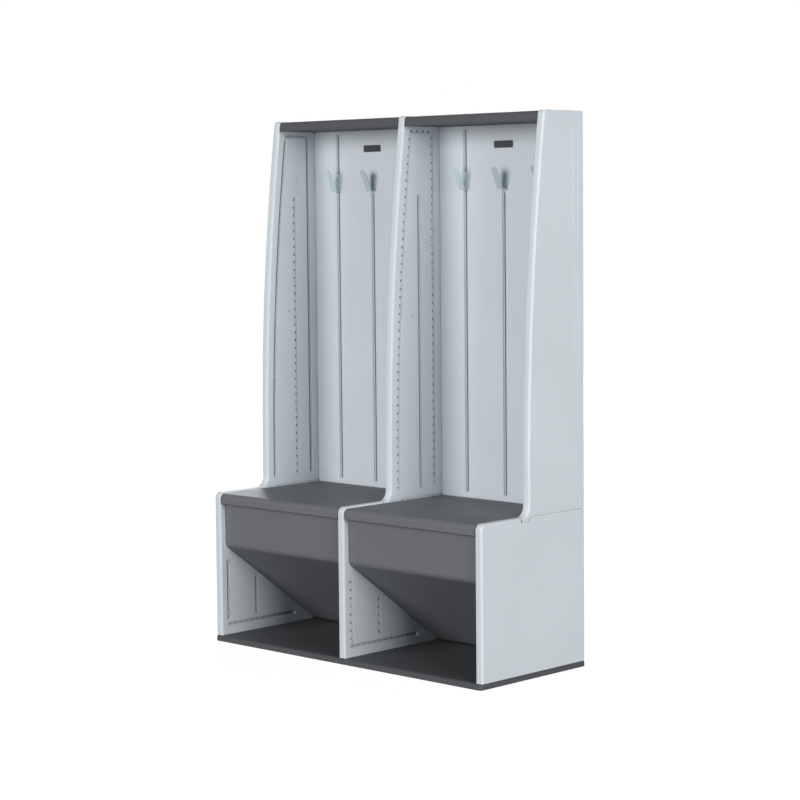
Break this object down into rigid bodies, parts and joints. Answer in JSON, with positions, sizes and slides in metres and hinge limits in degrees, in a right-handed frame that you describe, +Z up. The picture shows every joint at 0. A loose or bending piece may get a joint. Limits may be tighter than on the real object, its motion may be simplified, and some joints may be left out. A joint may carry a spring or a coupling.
{
  "type": "storage locker",
  "caption": "Open-fronted storage locker of moulded panels: coat bays with wall hooks over hinged bench-seat lids, hopper bins under the seats and shoe cubbies at the floor.",
  "frame": {"origin": "on the floor, under the middle of the base panel", "axes": "+Z up, +X to the right as seen from the open front, +Y towards the back; the open front faces -Y"},
  "size_m": [1.22, 0.502, 1.765],
  "materials": {
    "light_grey_moulded": "light blue-grey blow-moulded polyethylene, satin, finely pebbled",
    "dark_grey_moulded": "dark slate-grey blow-moulded polyethylene, satin, finely pebbled",
    "zinc_plated_hook": "bright zinc-plated steel strap",
    "steel_fastener": "zinc-plated screws and pins"
  },
  "bodies": {
    "carcass": {"base_panel": "dark_grey_moulded", "lower_side_left": "light_grey_moulded", "upper_side_left": "light_grey_moulded", "lower_divider": "light_grey_moulded", "upper_divider": "light_grey_moulded", "lower_side_right": "light_grey_moulded", "upper_side_right": "light_grey_moulded", "lower_back_left": "light_grey_moulded", "upper_back_left": "light_grey_moulded", "seat_ledge_left": "dark_grey_moulded", "bin_panel_left": "dark_grey_moulded", "roof_panel_left": "dark_grey_moulded", "lid_pin_left_outer": "steel_fastener", "lid_pin_left_inner": "steel_fastener", "coat_hook_left_left": "zinc_plated_hook", "coat_hook_left_middle": "zinc_plated_hook", "coat_hook_left_right": "zinc_plated_hook", "lower_back_right": "light_grey_moulded", "upper_back_right": "light_grey_moulded", "seat_ledge_right": "dark_grey_moulded", "bin_panel_right": "dark_grey_moulded", "roof_panel_right": "dark_grey_moulded", "lid_pin_right_outer": "steel_fastener", "lid_pin_right_inner": "steel_fastener", "coat_hook_right_left": "zinc_plated_hook", "coat_hook_right_middle": "zinc_plated_hook", "coat_hook_right_right": "zinc_plated_hook", "hook_screws": "steel_fastener", "upper_back_screws": "steel_fastener", "lower_back_screws": "steel_fastener", "ledge_back_screws": "steel_fastener", "base_screws": "steel_fastener"},
    "lid_left": {"seat_lid_left": "dark_grey_moulded"},
    "lid_right": {"seat_lid_right": "dark_grey_moulded"}
  },
  "joints": [
    {"name": "lid_left_hinge", "type": "hinge", "parent": "carcass", "child": "lid_left", "pos_m": [-0.298, 0.147, 0.493], "axis": [-1, 0, 0], "range_deg": [0, 98]},
    {"name": "lid_right_hinge", "type": "hinge", "parent": "carcass", "child": "lid_right", "pos_m": [0.298, 0.147, 0.493], "axis": [-1, 0, 0], "range_deg": [0, 98]}
  ]
}
